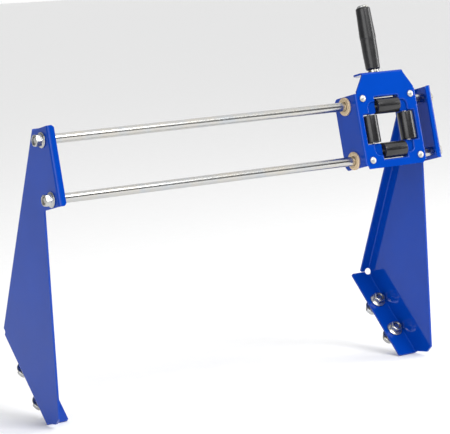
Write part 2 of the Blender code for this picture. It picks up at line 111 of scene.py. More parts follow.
# Brackets, in the plane of the web: (back, up) from the origin
FLANGE_SETBACK = 0.0195
TOP_ABOVE_ROD = 0.0155
STEP_BELOW_ROD = 0.0873
FRONT_FLANGE = 0.0096
REAR_FLANGE = 0.0160
FOOT_FLANGE = 0.0330
REAR_AT, REAR_SLOPE = 0.1944, -0.45
FOOT_AT, FOOT_SLOPE = 0.0368, 0.98
TIP_HEEL_Z = 0.0032
TIP_MIDDLE = (0.0090, 0.0055)
TIP_TOE_Z = 0.0140
RELIEF = 0.0044
RELIEF_HOLE_R = 0.0042
RELIEF_DEPTH = 0.0085
KNEE_FLARE = 0.0054
HOLE_R = 0.00515

# Foot bolts
FOOT_BOLT_X = 0.0160
BOLT_HEAD_START = 0.0148
BOLT_HEAD_END = 0.0243
BOLT_TIP = -0.0092
FOOT_BOLT_PITCH = 0.0540
FOOT_BOLT_MIDDLE = 0.0715

# Carriage, in the rod frame
CAR_HALF = float(extent("carriage_frame")[0]) / 2
CAR_BEND_R = 0.0036
CAR_FRONT = -0.0260
CAR_REAR = 0.0245
CAR_TOP = 0.0135
CAR_BOTTOM = -0.0875
PLATE_BOTTOM = -0.0920
SHOULDER_Z = 0.0162
NECK_TOP_Z = 0.0415
NECK_HALF = 0.0352
TAB_FULL = 0.0205
TAB_DEPTH = 0.0340
TAB_END_HALF = 0.0200
CORNER_CUT = 0.0050
BUSHING_HOLE_R = 0.0098
HANDLE_Y = -0.0066
DOME_R = 0.0080

# Roller window, about its own middle
WINDOW_Z = -0.0373
WINDOW_HALF = (0.0330, 0.0365)
NOTCH_HALF = 0.0205
NOTCH_OUT = 0.0435
FRAME_HALF = (0.0460, 0.0485)
FRAME_FRONT = -0.0230
FRAME_REAR = -0.0140
ROLLER_R = float(extent("top_roller")[1]) / 2
ROLLER_LENGTH = float(extent("top_roller")[0])
ROLLER_OFF = 0.0310
ROLLER_Y = -0.0202
AXLE_R = 0.00225
AXLE_LENGTH = float(extent("top_roller_axle")[0])
RIVET_AT = (0.0415, 0.0432)
RIVET_R = 0.0024
WINDOW_LIP = 0.0026

# Camera
CAMERA_PLACE = (-1.4767, -2.2417, 0.5806)
DARK_TOWARD = (0.461, -0.881, 0.103)
BRIGHT_TOWARD = (-0.800, -0.557, 0.222)
# The surroundings' brightness along an axis: its low and high share, and where it starts and ends to rise
WORLD_RAMPS = (("X", 0.22, 1.0, -0.6, 0.2), ("Z", 0.25, 1.0, 0.06, 0.26), ("Z", 1.0, 1.35, 0.35, 0.85))


class HoseGuideSizes(bpy.types.PropertyGroup):
    """Sizes of the sheet metal and the hardware."""

    sheet: FloatProperty(name="Sheet", description="Thickness of the bent sheet", default=0.0027, unit="LENGTH")
    bend_radius: FloatProperty(
        name="Bracket Bend", description="Outside radius of the bracket's bends", default=0.0045, unit="LENGTH")
    bend_steps: IntProperty(name="Bend Steps", description="Rows of faces round each bend", default=12, min=3)
    edge_round: FloatProperty(
        name="Edge Round", description="Radius of the paint over a cut edge", default=0.00045, unit="LENGTH")
    thread_radius: FloatProperty(
        name="Thread", description="Radius over the thread's crests", default=0.00475, unit="LENGTH")
    thread_pitch: FloatProperty(
        name="Thread Pitch", description="Distance between crests", default=0.0015875, unit="LENGTH")
    thread_depth: FloatProperty(
        name="Thread Depth", description="Depth of the groove", default=0.0008, unit="LENGTH")
    sides: IntProperty(name="Sides", description="Faces round a turned part", default=72, min=24)


class HoseGuideFinish(bpy.types.PropertyGroup):
    """Colours of the finishes."""

    paint: FloatVectorProperty(
        name="Paint", description="Powder coat colour", subtype="COLOR", default=(0.0006, 0.046, 0.362))
    zinc: FloatVectorProperty(
        name="Zinc", description="Colour of the bright zinc plate", subtype="COLOR", default=(0.50, 0.50, 0.49))
    bronze: FloatVectorProperty(
        name="Bronze", description="Colour of the sintered bushings", subtype="COLOR", default=(0.80, 0.62, 0.40))
    plastic: FloatVectorProperty(
        name="Plastic", description="Colour of rollers and grip", subtype="COLOR", default=(0.011, 0.011, 0.012))
    floor: FloatVectorProperty(
        name="Floor", description="Colour of the studio floor", subtype="COLOR", default=(0.95, 0.95, 0.95))


class HoseGuideStage(bpy.types.PropertyGroup):
    """Camera and studio light."""

    lens: FloatProperty(name="Lens", description="Focal length in millimetres", default=160.5)
    heading: FloatProperty(
        name="Heading", description="Turn of the camera from straight back to the right",
        default=math.radians(32.740), subtype="ANGLE")
    dip: FloatProperty(
        name="Dip", description="How far the camera looks down", default=math.radians(7.211), subtype="ANGLE")
    roll: FloatProperty(
        name="Roll", description="Clockwise turn of the camera", default=math.radians(3.393), subtype="ANGLE")
    key_power: FloatProperty(name="Key", description="Power of the key light", default=50.0, unit="POWER")
    side_power: FloatProperty(name="Side", description="Power of the strip lights", default=9.0, unit="POWER")
    dome: FloatProperty(name="Dome", description="Brightness of the surrounding white", default=0.90)


# Flat shapes and turned shapes


def rounded(corners, radii, steps=6):
    """An outline with its corners rounded.

    At each corner with a radius, the sharp point gives way to a circular arc
    that touches both sides: its middle lies on the corner's bisector, a
    distance radius / sin(half angle) from the corner.
    """
    corners = np.asarray(corners, float)
    before = np.roll(corners, 1, axis=0)
    after = np.roll(corners, -1, axis=0)
    outline = []
    for corner, last, following, radius in zip(corners, before, after, np.broadcast_to(radii, len(corners))):
        if radius <= 0:
            outline.append(corner[None])
            continue
        a = (last - corner) / np.linalg.norm(last - corner)
        b = (following - corner) / np.linalg.norm(following - corner)
        half = math.acos(np.clip(a @ b, -1, 1)) / 2
        bisector = (a + b) / np.linalg.norm(a + b)
        centre = corner + bisector * radius / math.sin(half)
        start = corner + a * radius / math.tan(half) - centre
        end = corner + b * radius / math.tan(half) - centre
        sweep = math.atan2(start[0] * end[1] - start[1] * end[0], start @ end)
        angle = math.atan2(start[1], start[0]) + np.linspace(0, sweep, steps + 1)
        outline.append(centre + radius * np.c_[np.cos(angle), np.sin(angle)])
    return np.vstack(outline)


def circle(centre, radius, count=40):
    """Points round a circle: centre plus radius times the cosine and sine of equal angles."""
    angle = np.arange(count) * 2 * math.pi / count
    return np.asarray(centre) + radius * np.c_[np.cos(angle), np.sin(angle)]


def inside(points, loop):
    """Even-odd test: a point is inside when a ray from it along the first axis crosses the loop an odd number of times."""
    x, y = points[:, 0:1], points[:, 1:2]
    x0, y0 = loop[:, 0], loop[:, 1]
    x1, y1 = np.roll(x0, -1), np.roll(y0, -1)
    rise = np.where(y1 == y0, 1e-12, y1 - y0)
    crosses = ((y0 > y) != (y1 > y)) & (x < x0 + (y - y0) * (x1 - x0) / rise)
    return crosses.sum(axis=1) % 2 == 1


def flat_sheet(outline, holes, rows, loose=()):
    """Triangles over a flat outline with holes.

    Each row is a pair of points whose line stays an edge, and loose holds more points.
    """
    loops = [outline, *holes]
    points = np.vstack([*loops, *rows, *loose])
    edges = []
    first = 0
    for loop in loops:
        here = first + np.arange(len(loop))
        edges.extend(zip(here.tolist(), np.roll(here, -1).tolist()))
        first += len(loop)
    edges.extend((first + 2 * i, first + 2 * i + 1) for i in range(len(rows)))
    made = delaunay_2d_cdt([Vector(p) for p in points.tolist()], edges, [], 0, 1e-7)
    verts = np.array([tuple(v) for v in made[0]])
    faces = np.array([tuple(f) for f in made[2]])
    centres = verts[faces].mean(axis=1)
    keep = inside(centres, outline)
    for hole in holes:
        keep &= ~inside(centres, hole)
    return verts, faces[keep]


class Fold:
    """A right-angle bend of a sheet round the line from start to end, out past which the flange lies."""

    def __init__(self, start, end, out, radius, run):
        self.start = np.asarray(start, float)
        self.end = np.asarray(end, float)
        self.out = np.asarray(out, float)
        self.radius = radius
        self.length = float(np.linalg.norm(self.end - self.start))
        self.along = (self.end - self.start) / self.length
        self.arc = radius * math.pi / 2
        self.reach = self.arc + run - radius
        self.before = self.after = self.wide_from = 0.0

    def widened(self, before, after, depth):
        """Lets the flange reach past the bend's ends, by before and after, from a depth on."""
        self.before, self.after = before, after
        self.wide_from = self.arc + depth - self.radius
        return self

    def tab(self, taper, cut, radius=0.0):
        """The flange's flat outline from start to end, with its corner radii. taper narrows the last stretch, cut."""
        near, far = self.reach - cut, self.reach
        first = self.start - self.along * self.before
        last = self.end + self.along * self.after
        points, radii = [self.start], [0.0]
        if self.before:
            points += [self.start + self.out * self.wide_from, first + self.out * self.wide_from]
            radii += [0.0030, 0.0005]
        points += [
            first + self.out * near,
            first + self.out * far + self.along * taper,
            last + self.out * far - self.along * taper,
            last + self.out * near,
        ]
        radii += [radius] * 4
        if self.after:
            points += [last + self.out * self.wide_from, self.end + self.out * self.wide_from]
            radii += [0.0005, 0.0030]
        return points + [self.end], radii + [0.0]

    def rows(self, steps):
        """Lines across the bend, from its near side to its far side."""
        return [
            np.array((self.start + self.out * d, self.end + self.out * d))
            for d in np.linspace(0, self.arc, steps + 1)
        ]

    def place(self, flat):
        """Where this flange's points go in the sheet's plane, how deep, and which points are its own.

        A point a distance d past the line turns by d / radius, up to a right
        angle. It reaches radius times the sine of that turn past the line and
        sinks radius times one minus its cosine, plus what is left of d.
        """
        offset = flat - self.start
        past = offset @ self.out
        along = offset @ self.along
        own = (past > 1e-8) & (along > -1e-6 - self.before) & (along < self.length + self.after + 1e-6)
        turn = np.clip(past / self.radius, 0, math.pi / 2)
        deep = self.radius * (1 - np.cos(turn)) + np.clip(past - self.arc, 0, None)
        spot = self.start + along[:, None] * self.along + (self.radius * np.sin(turn))[:, None] * self.out
        return own, spot, deep


def distance_to(points, loop):
    """The distance from each point to a closed loop: the least over its sides, each clamped to its ends."""
    side = np.roll(loop, -1, axis=0) - loop
    offset = points[:, None] - loop[None]
    share = np.clip((offset * side).sum(-1) / (side ** 2).sum(-1), 0, 1)
    return np.linalg.norm(offset - share[..., None] * side, axis=-1).min(axis=1)


def rings_outside(loop, distances):
    """Points at given distances outside a counter-clockwise loop, without those that come nearer to it elsewhere."""
    side = np.roll(loop, -1, axis=0) - loop
    normal = np.c_[side[:, 1], -side[:, 0]]
    normal = normal / np.linalg.norm(normal, axis=1)[:, None]
    spread_normal = normal + np.roll(normal, 1, axis=0)
    spread_normal /= np.linalg.norm(spread_normal, axis=1)[:, None]
    rings = []
    for distance in distances:
        ring = loop + spread_normal * distance
        rings.append(ring[distance_to(ring, loop) > 0.96 * distance])
    return rings


def folded(flat, folds):
    """The flat sheet's points with every flange bent: (first axis, second axis, depth)."""
    place = np.c_[flat, np.zeros(len(flat))]
    for fold in folds:
        own, spot, deep = fold.place(flat)
        place[own, :2] = spot[own]
        place[own, 2] = deep[own]
    return place


def axis_frame(direction):
    """Two unit vectors that make a right-handed frame with the direction."""
    direction = np.asarray(direction, float)
    helper = np.array((1.0, 0.0, 0.0)) if abs(direction[0]) < 0.9 else np.array((0.0, 1.0, 0.0))
    first = np.cross(helper, direction)
    first /= np.linalg.norm(first)
    return first, np.cross(direction, first)


def turned(profile, sides, origin, direction, shape=None, ring=False):
    """A turned surface on a grid of angle and profile step.

    A profile point of radius r and height h goes to origin + h * direction
    + r * (cos(angle) * u + sin(angle) * v). shape may change r as a function
    of the angle, h and r. A ring's profile closes on itself.
    """
    profile = np.asarray(profile, float)
    angle = np.arange(sides) * 2 * math.pi / sides
    radius = np.repeat(profile[:, 0:1], sides, axis=1)
    height = np.repeat(profile[:, 1:2], sides, axis=1)
    if shape is not None:
        radius = shape(angle[None, :], height, radius)
    u, v = axis_frame(direction)
    sweep = np.cos(angle)[:, None] * u + np.sin(angle)[:, None] * v
    points = np.asarray(origin) + height[..., None] * np.asarray(direction) + radius[..., None] * sweep[None]
    rows = len(profile)
    i = np.arange(rows if ring else rows - 1)[:, None]
    j = np.arange(sides)[None, :]
    following, beside = (i + 1) % rows, (j + 1) % sides
    faces = np.stack([i * sides + j, following * sides + j, following * sides + beside, i * sides + beside], axis=-1)
    return points.reshape(-1, 3), faces.reshape(-1, 4)


def soft_profile(points, radius, steps=4, ring=False):
    """A turned profile with its inner corners rounded. The ends of an open one stay sharp."""
    radii = np.full(len(points), radius)
    if not ring:
        radii[[0, -1]] = 0.0
    return rounded(points, radii, steps)


def hexagon(across):
    """The radius of a hexagon at an angle: half its width over the cosine of the angle from the nearest flat."""
    sixth = math.pi / 3
    return lambda angle: across / 2 / np.cos((angle + sixth / 2) % sixth - sixth / 2)


def thread(height, angle, pitch, depth):
    """Depth of a helical V groove: a triangle wave of height over pitch less one turn's fraction."""
    phase = (height / pitch - angle / (2 * math.pi)) % 1.0
    return depth * np.abs(2 * phase - 1)


def add_piece(node, points, faces, material, sharp=32.0):
    """Makes the surface that stands for a frame node, and lets it ride on that node's body."""
    mesh = bpy.data.meshes.new(f"{node}_surface")
    mesh.from_pydata(np.asarray(points).tolist(), [], np.asarray(faces).tolist())
    shell = bmesh.new()
    shell.from_mesh(mesh)
    bmesh.ops.remove_doubles(shell, verts=shell.verts, dist=2e-6)
    bmesh.ops.recalc_face_normals(shell, faces=shell.faces)
    shell.to_mesh(mesh)
    shell.free()
    mesh.materials.append(material)
    mesh.shade_smooth()
    mesh.set_sharp_from_angle(angle=math.radians(sharp))
    piece = bpy.data.objects.new(f"{node}_surface", mesh)
    bpy.context.scene.collection.objects.link(piece)
    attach(piece, BODY_OF[node])
    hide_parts(node)
    return piece


def add_sheet(node, points, faces, outward, thickness, material, edge):
    """A sheet-metal piece: an open surface whose thickness lies behind its outward face, with rounded edges."""
    piece = add_piece(node, points, faces, material, 180.0)
    biggest = max(piece.data.polygons, key=lambda face: face.area)
    if biggest.normal.dot(Vector(outward)) < 0:
        piece.data.flip_normals()
    solid = piece.modifiers.new("Sheet", "SOLIDIFY")
    solid.thickness = thickness
    solid.offset = -1.0
    solid.use_even_offset = True
    solid.use_quality_normals = True
    soft = piece.modifiers.new("Edges", "BEVEL")
    soft.width = edge
    soft.segments = 3
    soft.limit_method = "ANGLE"
    soft.angle_limit = math.radians(50)
    soft.harden_normals = False
    weighted = piece.modifiers.new("Normals", "WEIGHTED_NORMAL")
    weighted.mode = "FACE_AREA"
    weighted.weight = 50
    weighted.keep_sharp = False
    return piece


def settings():
    scene = bpy.context.scene
    return scene.hose_guide_sizes, scene.hose_guide_finish, scene.hose_guide_stage


def rod_point(across, back, up):
    """A point of the carriage in world metres."""
    return (CARRIAGE_X * ACROSS + UPPER_ROD + np.multiply.outer(np.asarray(across, float), ACROSS)
            + np.multiply.outer(np.asarray(back, float), BACK) + np.multiply.outer(np.asarray(up, float), UP))


# Materials


def new_material(name):
    material = bpy.data.materials.get(name)
    if material is not None:
        return material, None
    material = bpy.data.materials.new(name)
    material.use_nodes = True
    return material, material.node_tree


def add_node(tree, kind, inputs=None, **values):
    """Adds a node, sets its properties and fills or links its inputs."""
    made = tree.nodes.new(kind)
    for key, value in values.items():
        setattr(made, key, value)
    for key, value in (inputs or {}).items():
        if isinstance(value, bpy.types.NodeSocket):
            tree.links.new(value, made.inputs[key])
        else:
            made.inputs[key].default_value = value
    return made


def stretched(tree, scale):
    """Object coordinates scaled along each axis."""
    source = add_node(tree, "ShaderNodeTexCoord")
    return add_node(tree, "ShaderNodeMapping", {"Vector": source.outputs["Object"], "Scale": scale}).outputs["Vector"]


def noise(tree, where, scale, detail=2.0, rough=0.5):
    return add_node(tree, "ShaderNodeTexNoise", {
        "Vector": where, "Scale": scale, "Detail": detail, "Roughness": rough}).outputs["Fac"]


def spread(tree, value, low, high, start=0.3, end=0.7):
    """Spreads a noise value over a range."""
    return add_node(tree, "ShaderNodeMapRange", {
        "Value": value, "From Min": start, "From Max": end, "To Min": low, "To Max": high}).outputs["Result"]


def tinted(tree, factor, first, second):
    """A colour between two, by a factor."""
    mix = add_node(tree, "ShaderNodeMix", data_type="RGBA")
    tree.links.new(factor, mix.inputs["Factor"])
    mix.inputs[6].default_value = (*first, 1.0)
    mix.inputs[7].default_value = (*second, 1.0)
    return mix.outputs[2]


def shaded(colour, factor):
    return tuple(min(1.0, channel * factor) for channel in colour)


def powder_coat():
    """Glossy powder coat: an orange-peel surface, slow changes of tone, and a little dust in its gloss."""
    _, finish, _ = settings()
    material, tree = new_material("blue powder coat")
    if tree is None:
        return material
    shader = tree.nodes["Principled BSDF"]
    even = stretched(tree, (1, 1, 1))
    slow = spread(tree, noise(tree, even, 14.0, 2.0), 0.0, 1.0)
    colour = tinted(tree, slow, shaded(finish.paint, 0.93), shaded(finish.paint, 1.05))
    tree.links.new(colour, shader.inputs["Base Color"])
    tree.links.new(spread(tree, noise(tree, even, 90.0, 4.0, 0.6), 0.05, 0.11), shader.inputs["Roughness"])
    peel = noise(tree, even, 520.0, 2.0)
    grain = noise(tree, even, 2600.0, 1.0)
    height = add_node(tree, "ShaderNodeMath", {0: grain, 1: 0.12, 2: peel}, operation="MULTIPLY_ADD").outputs[0]
    bump = add_node(tree, "ShaderNodeBump", {"Strength": 0.16, "Distance": 0.00010, "Height": height})
    tree.links.new(bump.outputs["Normal"], shader.inputs["Normal"])
    shader.inputs["Specular IOR Level"].default_value = 0.24
    return material


def zinc_plate(name, grain_scale, rough=(0.16, 0.34), warm=0.96):
    """Bright zinc plate. The grain's scale stretches the tool marks along the bar or leaves them even."""
    _, finish, _ = settings()
    material, tree = new_material(name)
    if tree is None:
        return material
    shader = tree.nodes["Principled BSDF"]
    shader.inputs["Metallic"].default_value = 1.0
    even = stretched(tree, (1, 1, 1))
    marks = stretched(tree, grain_scale)
    bluish = (finish.zinc[0] * 0.93, finish.zinc[1] * 0.97, finish.zinc[2] * 1.03)
    yellowish = (finish.zinc[0] * 1.08, finish.zinc[1] * 1.02, finish.zinc[2] * warm)
    cloud = spread(tree, noise(tree, even, 38.0, 3.0, 0.6), 0.0, 1.0)
    tree.links.new(tinted(tree, cloud, bluish, yellowish), shader.inputs["Base Color"])
    streak = noise(tree, marks, 1.0, 3.0, 0.55)
    tree.links.new(spread(tree, streak, *rough), shader.inputs["Roughness"])
    bump = add_node(tree, "ShaderNodeBump", {"Strength": 0.07, "Distance": 0.00006, "Height": streak})
    tree.links.new(bump.outputs["Normal"], shader.inputs["Normal"])
    return material


def rod_zinc():
    return zinc_plate("drawn bar zinc", (3.0, 900.0, 900.0), (0.18, 0.30), 0.93)


def part_zinc():
    return zinc_plate("hardware zinc", (900.0, 900.0, 900.0), (0.17, 0.36), 0.88)


def rivet_zinc():
    return zinc_plate("rivet zinc", (600.0, 600.0, 600.0), (0.34, 0.50), 0.94)


def sintered_bronze():
    """Oil-filled sintered bronze: a fine grain with small dark pores and oily patches."""
    _, finish, _ = settings()
    material, tree = new_material("sintered bronze")
    if tree is None:
        return material
    shader = tree.nodes["Principled BSDF"]
    shader.inputs["Metallic"].default_value = 0.55
    even = stretched(tree, (1, 1, 1))
    pores = spread(tree, noise(tree, even, 3200.0, 3.0, 0.7), 0.0, 1.0, 0.38, 0.55)
    tree.links.new(tinted(tree, pores, shaded(finish.bronze, 0.45), shaded(finish.bronze, 1.1)),
                   shader.inputs["Base Color"])
    oily = spread(tree, noise(tree, even, 240.0, 2.0), 0.30, 0.52)
    tree.links.new(oily, shader.inputs["Roughness"])
    bump = add_node(tree, "ShaderNodeBump", {"Strength": 0.35, "Distance": 0.00008, "Height": pores})
    tree.links.new(bump.outputs["Normal"], shader.inputs["Normal"])
    return material


def moulded_black(name, rough):
    """Glossy black plastic: a faint flow pattern and fine handling marks."""
    _, finish, _ = settings()
    material, tree = new_material(name)
    if tree is None:
        return material
    shader = tree.nodes["Principled BSDF"]
    even = stretched(tree, (1, 1, 1))
    flow = noise(tree, even, 60.0, 3.0, 0.6)
    tree.links.new(tinted(tree, spread(tree, flow, 0.0, 1.0), shaded(finish.plastic, 0.75),
                          shaded(finish.plastic, 1.5)), shader.inputs["Base Color"])
    scuffs = noise(tree, stretched(tree, (260.0, 1500.0, 900.0)), 1.0, 4.0, 0.6)
    tree.links.new(spread(tree, scuffs, *rough), shader.inputs["Roughness"])
    bump = add_node(tree, "ShaderNodeBump", {"Strength": 0.12, "Distance": 0.00006, "Height": scuffs})
    tree.links.new(bump.outputs["Normal"], shader.inputs["Normal"])
    return material


def studio_floor():
    """Matt paper: nearly white, with a barely visible tooth."""
    _, finish, _ = settings()
    material, tree = new_material("studio paper")
    if tree is None:
        return material
    shader = tree.nodes["Principled BSDF"]
    even = stretched(tree, (1, 1, 1))
    tooth = spread(tree, noise(tree, even, 40.0, 3.0), 0.0, 1.0)
    tree.links.new(tinted(tree, tooth, shaded(finish.floor, 0.985), finish.floor[:]), shader.inputs["Base Color"])
    shader.inputs["Roughness"].default_value = 0.9
    shader.inputs["Specular IOR Level"].default_value = 0.1
    return material


# Sheet metal


def direction(vector):
    vector = np.asarray(vector, float)
    return vector / np.linalg.norm(vector)


def crossing(p, d, q, e):
    """Where the lines p + s d and q + t e cross."""
    s = ((q[0] - p[0]) * e[1] - (q[1] - p[1]) * e[0]) / (d[0] * e[1] - d[1] * e[0])
    return p + d * s


def in_web(back, up):
    """The (back, up) of the web's plane for a point given in the rod frame."""
    return UPPER_ROD[1:] + back * BACK[1:] + up * UP[1:]


def bracket_flat(sizes):
    """The bracket's flat outline, its holes and its three folds."""
    radius = sizes.bend_radius
    rear_dir, foot_dir = direction((REAR_SLOPE, 1.0)), direction((FOOT_SLOPE, 1.0))
    rear_out, foot_out = np.array((rear_dir[1], -rear_dir[0])), np.array((foot_dir[1], -foot_dir[0]))
    rear_at = np.array((REAR_AT, 0.0)) - rear_out * radius
    foot_at = np.array((FOOT_AT, 0.0)) - foot_out * radius
    knee = crossing(rear_at, rear_dir, foot_at, foot_dir)
    setback = radius - FLANGE_SETBACK
    top_front = in_web(setback, TOP_ABOVE_ROD)
    top_rear = crossing(top_front, BACK[1:], rear_at, rear_dir)
    step_front = in_web(setback, -STEP_BELOW_ROD)
    step_corner = crossing(step_front, BACK[1:], np.zeros(2), np.array((0.0, 1.0)))
    heel = foot_at + foot_dir * ((TIP_HEEL_Z - foot_at[1]) / foot_dir[1])
    front = Fold(step_front, top_front, -BACK[1:], radius, FRONT_FLANGE)
    rear = Fold(top_rear, knee + rear_dir * RELIEF, rear_out, radius, REAR_FLANGE)
    rear.widened(0.0, KNEE_FLARE, RELIEF_DEPTH)
    foot = Fold(knee - foot_dir * RELIEF, heel, foot_out, radius, FOOT_FLANGE)
    foot.widened(KNEE_FLARE, 0.0, RELIEF_DEPTH)
    first_turn = math.atan2(rear_dir[1], rear_dir[0])
    turn = np.linspace(first_turn, math.atan2(-foot_dir[1], -foot_dir[0]) + 2 * math.pi, 17)
    bite = knee + RELIEF_HOLE_R * np.c_[np.cos(turn), np.sin(turn)]
    corners, radii = [], []
    for points, rounds in (
        front.tab(0.0030, 0.0030, 0.0012),
        rear.tab(0.0015, 0.0015, 0.0012),
        (bite, np.zeros(len(bite))),
        foot.tab(0.0015, 0.0015, 0.0012),
        ([np.array(TIP_MIDDLE), np.array((0.0, TIP_TOE_Z)), step_corner], [0.0, 0.002, 0.0015]),
    ):
        corners.extend(points)
        radii.extend(rounds)
    outline = rounded(corners, radii)
    holes = [circle(in_web(0.0, -drop), HOLE_R) for drop in (0.0, ROD_PITCH)]
    for offset in (0.5, -0.5):
        along = FOOT_BOLT_MIDDLE + offset * FOOT_BOLT_PITCH
        past = foot.arc + FOOT_BOLT_X - radius
        holes.append(circle(foot_at + foot_dir * along + foot_out * past, HOLE_R))
    return outline, holes, (front, rear, foot)


def build_bracket(node, side):
    """One bracket. side is -1 on the left and 1 on the right."""
    sizes, _, _ = settings()
    outline, holes, folds = bracket_flat(sizes)
    rows = [row for fold in folds for row in fold.rows(sizes.bend_steps)]
    flat, faces = flat_sheet(outline, holes, rows)
    bent = folded(flat, folds)
    points = np.c_[side * (HALF_SPAN - bent[:, 2]), bent[:, 0], bent[:, 1]]
    return add_sheet(node, points, faces, (side, 0, 0), sizes.sheet, powder_coat(), sizes.edge_round)


def window_outline():
    """The front plate's window: a rounded opening with a notch beyond each of its four sides."""
    wide, tall = WINDOW_HALF
    quarter = [(NOTCH_OUT, NOTCH_HALF), (wide, NOTCH_HALF), (wide, tall), (NOTCH_HALF, tall), (NOTCH_HALF, NOTCH_OUT)]
    return around(quarter, (0.0015, 0.0015, 0.0075, 0.0015, 0.0015))


def cross_outline(chamfer):
    """The roller frame's opening: a cross whose inner corners are cut off."""
    near, far = NOTCH_HALF, NOTCH_OUT
    quarter = [(far, near), (near + chamfer, near), (near, near + chamfer), (near, far)]
    return around(quarter, (0.001, 0.0006, 0.0006, 0.001))


def around(quarter, radii):
    """A closed outline from its first quarter, mirrored into the other three and rounded."""
    quarter = np.array(quarter)
    radii = np.array(radii)
    turns = ((1, 1, 1), (-1, 1, -1), (-1, -1, 1), (1, -1, -1))
    corners = np.vstack([quarter[::step] * (sx, sz) for sx, sz, step in turns])
    return rounded(corners, np.concatenate([radii[::step] for _, _, step in turns])) + (0.0, WINDOW_Z)


def rivet_spots():
    return [(sx * RIVET_AT[0], WINDOW_Z + sz * RIVET_AT[1]) for sz in (1, -1) for sx in (-1, 1)]


def build_carriage_sheet():
    sizes, _, _ = settings()
    half = CAR_HALF - CAR_BEND_R
    crease = NECK_TOP_Z - CAR_BEND_R
    run = CAR_REAR - CAR_FRONT
    right = Fold((half, CAR_BOTTOM), (half, CAR_TOP), (1, 0), CAR_BEND_R, run)
    top = Fold((NECK_HALF, crease), (-NECK_HALF, crease), (0, 1), CAR_BEND_R, TAB_DEPTH)
    left = Fold((-half, CAR_TOP), (-half, CAR_BOTTOM), (-1, 0), CAR_BEND_R, run)
    corners, radii = [], []
    for points, rounds in (
        right.tab(CORNER_CUT, CORNER_CUT, 0.005),
        ([(half, SHOULDER_Z)], [0.0]),
        top.tab(NECK_HALF - TAB_END_HALF, TAB_DEPTH - TAB_FULL, 0.004),
        ([(-half, SHOULDER_Z)], [0.0]),
        left.tab(CORNER_CUT, CORNER_CUT, 0.005),
        ([(-half + 0.0015, PLATE_BOTTOM), (half - 0.0040, PLATE_BOTTOM)], [0.0015, 0.0015]),
    ):
        corners.extend(points)
        radii.extend(rounds)
    outline = rounded(corners, radii)
    holes = [window_outline()]
    holes.extend(circle(spot, RIVET_R + FIT_GAP, 20) for spot in rivet_spots())
    for fold, side in ((right, 1), (left, -1)):
        past = fold.arc - CAR_FRONT - CAR_BEND_R
        for drop in (0.0, ROD_PITCH):
            holes.append(circle((side * (half + past), -drop), BUSHING_HOLE_R))
    stud_past = top.arc + HANDLE_Y - CAR_FRONT - CAR_BEND_R
    holes.append(circle((0.0, crease + stud_past), HOLE_R))
    folds = (right, top, left)
    rows = [row for fold in folds for row in fold.rows(sizes.bend_steps)]
    lip = WINDOW_LIP * (1 - np.cos(np.linspace(0.35, math.pi / 2, 6)))
    flat, faces = flat_sheet(outline, holes, rows, rings_outside(holes[0], lip))
    bent = folded(flat, folds)
    inward = np.clip(WINDOW_LIP - distance_to(flat, holes[0]), 0, None)
    bent[:, 2] += WINDOW_LIP - np.sqrt(WINDOW_LIP ** 2 - inward ** 2)
    points = rod_point(bent[:, 0], CAR_FRONT + bent[:, 2], bent[:, 1])
    return add_sheet("carriage_frame", points, faces, -BACK, sizes.sheet, powder_coat(), sizes.edge_round)


def build_roller_frame():
    sizes, _, _ = settings()
    wide, tall = FRAME_HALF
    outline = rounded([(wide, -tall), (wide, tall), (-wide, tall), (-wide, -tall)], 0.002) + (0.0, WINDOW_Z)
    holes = [cross_outline(0.003)]
    flat, faces = flat_sheet(outline, holes, [])
    points = rod_point(flat[:, 0], FRAME_FRONT, flat[:, 1])
    thick = FRAME_REAR - FRAME_FRONT
    return add_sheet("roller_frame", points, faces, -BACK, thick, powder_coat(), sizes.edge_round)


# Hardware


def build_rod(node, drop):
    """A guide rod: plain bar between its shoulders and a rolled thread at each end."""
    sizes, _, _ = settings()
    shoulder = HALF_SPAN - sizes.sheet - FIT_GAP
    tip = ROD_END
    chamfer = 0.0010
    threaded = np.linspace(tip - chamfer, shoulder + 0.0004, 96)
    half = [(0.0, tip), (sizes.thread_radius - 0.0012, tip)]
    half += [(sizes.thread_radius, h) for h in threaded]
    half += [(sizes.thread_radius, shoulder), (ROD_R - 0.0007, shoulder), (ROD_R - 0.0002, shoulder - 0.0002),
             (ROD_R, shoulder - 0.0007), (ROD_R, shoulder - 0.010)]
    profile = np.array(half + [(r, -h) for r, h in half[::-1]])

    def cut(angle, height, radius):
        groove = thread(height, angle, sizes.thread_pitch, sizes.thread_depth)
        on_thread = (np.abs(height) > shoulder + 0.0002) & (radius >= sizes.thread_radius - 1e-9)
        return np.where(on_thread, radius - groove, radius)

    points, faces = turned(profile, sizes.sides, UPPER_ROD - drop * UP, ACROSS, cut)
    return add_piece(node, points, faces, rod_zinc(), 40.0)


